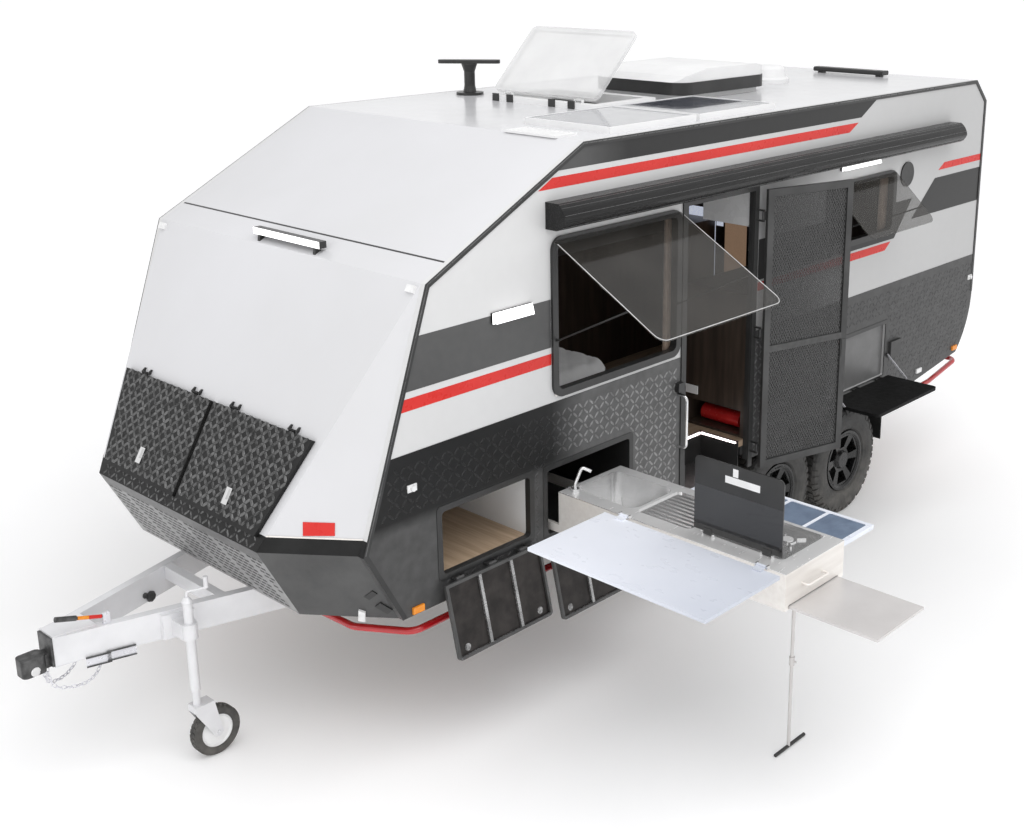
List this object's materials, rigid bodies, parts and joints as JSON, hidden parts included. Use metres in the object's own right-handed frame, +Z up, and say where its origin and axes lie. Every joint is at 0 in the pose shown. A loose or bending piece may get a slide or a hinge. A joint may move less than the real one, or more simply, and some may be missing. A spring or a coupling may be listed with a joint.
{
  "type": "off-road caravan trailer",
  "caption": "Tandem-axle off-road caravan with a drawbar, jockey wheel, slide-out kitchen, tunnel boot, fold-down table, awning and roof units, on open trailing-arm suspension.",
  "frame": {"origin": "centre of the coupling's socket, 0.66 m above the ground the wheels stand on", "axes": "+X forward along the towing direction, +Y to the door side, +Z up"},
  "size_m": [7.1189, 4.297, 3.4033],
  "materials": {
    "white_plastic": "satin",
    "spring_rubber": "matte",
    "awning_case": "gloss",
    "aluminium": "satin",
    "black_trim": "satin",
    "black_metal": "powder coated",
    "floor_board": "satin",
    "chassis_steel": "satin",
    "zinc": "zinc plated",
    "curtain_cloth": "woven",
    "galvanised": "hot-dip galvanised",
    "chequer_plate": "satin, raised tread pattern",
    "cabinet_wood": "satin",
    "hob_glass": "gloss",
    "tyre_rubber": "matte",
    "stainless": "brushed",
    "lamp_lens": "clear",
    "white_panel": "gloss",
    "liner_board": "satin",
    "mattress_cloth": "quilted",
    "alloy_black": "satin black",
    "hatch_acrylic": "clear",
    "mesh_black": "satin",
    "solar_cell": "gloss",
    "red_steel": "gloss",
    "window_acrylic": "tinted"
  },
  "bodies": {
    "body": {"air_conditioner": "white_plastic", "air_springs": "spring_rubber", "awning": "awning_case", "body_fittings": "black_trim", "cabin_floor": "floor_board", "chassis": "chassis_steel", "coupling": "zinc", "curtains": "curtain_cloth", "door_frame": "black_metal", "drawbar": "galvanised", "edge_trims": "black_trim", "furniture": "cabinet_wood", "galley_door": "black_metal", "jockey_post": "zinc", "kitchen_carcass": "stainless", "kitchen_top": "stainless", "lamps": "lamp_lens", "left_wall": "white_panel", "locker_liners": "liner_board", "mattress": "mattress_cloth", "nose_panel": "white_panel", "opening_frames": "black_trim", "rear_wall": "white_panel", "right_wall": "white_panel", "roof_fittings": "black_trim", "roof_front_panel": "white_panel", "roof_hatch_frame": "white_plastic", "roof_panel": "white_panel", "safety_chains": "zinc", "side_cladding": "chequer_plate", "skirts": "chequer_plate", "solar_panels": "solar_cell", "trailing_arms": "chassis_steel", "tube_bars": "red_steel", "washroom_partition": "cabinet_wood", "window_panes": "window_acrylic"},
    "wheel_front_left": {"tyre_front_left": "tyre_rubber", "rim_front_left": "alloy_black"},
    "wheel_rear_left": {"tyre_rear_left": "tyre_rubber", "rim_rear_left": "alloy_black"},
    "wheel_front_right": {"tyre_front_right": "tyre_rubber", "rim_front_right": "alloy_black"},
    "wheel_rear_right": {"tyre_rear_right": "tyre_rubber", "rim_rear_right": "alloy_black"},
    "jockey_caster": {"jockey_fork": "zinc"},
    "jockey_wheel": {"jockey_tyre": "tyre_rubber", "jockey_rim": "white_plastic"},
    "screen_door": {"screen_door": "mesh_black"},
    "toolbox_door": {"toolbox_door": "black_metal"},
    "boot_door": {"boot_door": "black_metal"},
    "bench_flap": {"bench_flap": "aluminium"},
    "hob_lid": {"hob_lid": "hob_glass"},
    "side_tray": {"side_tray": "aluminium"},
    "end_shelf": {"end_shelf": "aluminium"},
    "kitchen_leg": {"kitchen_leg": "stainless"},
    "picnic_table": {"picnic_table": "black_metal"},
    "table_stays": {"table_stays": "black_metal"},
    "roof_hatch_lid": {"roof_hatch_lid": "hatch_acrylic"},
    "front_hatch_left": {"front_hatch_left": "chequer_plate"},
    "front_hatch_right": {"front_hatch_right": "chequer_plate"}
  },
  "joints": [
    {"name": "wheel_spin_front_left", "type": "hinge", "parent": "body", "child": "wheel_front_left", "pos_m": [-4.505, 0.98, -0.265], "axis": [0, 1, 0], "continuous": true},
    {"name": "wheel_spin_rear_left", "type": "hinge", "parent": "body", "child": "wheel_rear_left", "pos_m": [-5.35, 0.98, -0.265], "axis": [0, 1, 0], "continuous": true},
    {"name": "wheel_spin_front_right", "type": "hinge", "parent": "body", "child": "wheel_front_right", "pos_m": [-4.505, -0.98, -0.265], "axis": [0, 1, 0], "continuous": true},
    {"name": "wheel_spin_rear_right", "type": "hinge", "parent": "body", "child": "wheel_rear_right", "pos_m": [-5.35, -0.98, -0.265], "axis": [0, 1, 0], "continuous": true},
    {"name": "jockey_swivel", "type": "hinge", "parent": "body", "child": "jockey_caster", "pos_m": [-0.633, 0.345, -0.3], "axis": [0, 0, 1], "continuous": true},
    {"name": "jockey_spin", "type": "hinge", "parent": "jockey_caster", "child": "jockey_wheel", "pos_m": [-0.718, 0.345, -0.53], "axis": [0, 1, 0], "continuous": true},
    {"name": "screen_door_hinge", "type": "hinge", "parent": "body", "child": "screen_door", "pos_m": [-4.115, 1.2, 0.97], "axis": [0, 0, 1], "range_deg": [-164, 0]},
    {"name": "toolbox_door_hinge", "type": "hinge", "parent": "body", "child": "toolbox_door", "pos_m": [-1.862, 1.178, 0.238], "axis": [-1, 0, 0], "range_deg": [-167, 0]},
    {"name": "boot_door_hinge", "type": "hinge", "parent": "body", "child": "boot_door", "pos_m": [-1.862, -1.178, 0.238], "axis": [1, 0, 0], "range_deg": [0, 167]},
    {"name": "bench_flap_hinge", "type": "hinge", "parent": "body", "child": "bench_flap", "pos_m": [-2.321, 2.09, 0.491], "axis": [0, 1, 0], "range_deg": [-178, 0]},
    {"name": "hob_lid_hinge", "type": "hinge", "parent": "body", "child": "hob_lid", "pos_m": [-2.43, 2.291, 0.49], "axis": [0, 1, 0], "range_deg": [-90, 0]},
    {"name": "side_tray_slide", "type": "slide", "parent": "body", "child": "side_tray", "axis": [1, 0, 0], "range_m": [0, 0.285]},
    {"name": "end_shelf_slide", "type": "slide", "parent": "body", "child": "end_shelf", "axis": [0, 1, 0], "range_m": [-0.44, 0]},
    {"name": "kitchen_leg_hinge", "type": "hinge", "parent": "body", "child": "kitchen_leg", "pos_m": [-2.665, 2.476, 0.274], "axis": [1, 0, 0], "range_deg": [-90, 0]},
    {"name": "picnic_table_hinge", "type": "hinge", "parent": "body", "child": "picnic_table", "pos_m": [-5.34, 1.172, 0.285], "axis": [-1, 0, 0], "range_deg": [-90, 0]},
    {"name": "table_stay_pivot", "type": "hinge", "parent": "body", "child": "table_stays", "pos_m": [-5.34, 1.17, 0.44], "axis": [1, 0, 0], "range_deg": [-48.3, 0]},
    {"name": "roof_hatch_hinge", "type": "hinge", "parent": "body", "child": "roof_hatch_lid", "pos_m": [-3.585, -0.112, 2.348], "axis": [0, 1, 0], "range_deg": [-45, 0]},
    {"name": "front_hatch_hinge_left", "type": "hinge", "parent": "body", "child": "front_hatch_left", "pos_m": [-1.07925, 0.425, 1.04281], "axis": [0, -1, 0], "range_deg": [0, 95]},
    {"name": "front_hatch_hinge_right", "type": "hinge", "parent": "body", "child": "front_hatch_right", "pos_m": [-1.07925, -0.425, 1.04281], "axis": [0, -1, 0], "range_deg": [0, 95]}
  ],
  "couplings": [
    {"joint": "hob_lid_hinge", "follows": "bench_flap_hinge", "ratio": 0.5056},
    {"joint": "table_stay_pivot", "follows": "picnic_table_hinge", "ratio": 0.5356}
  ]
}
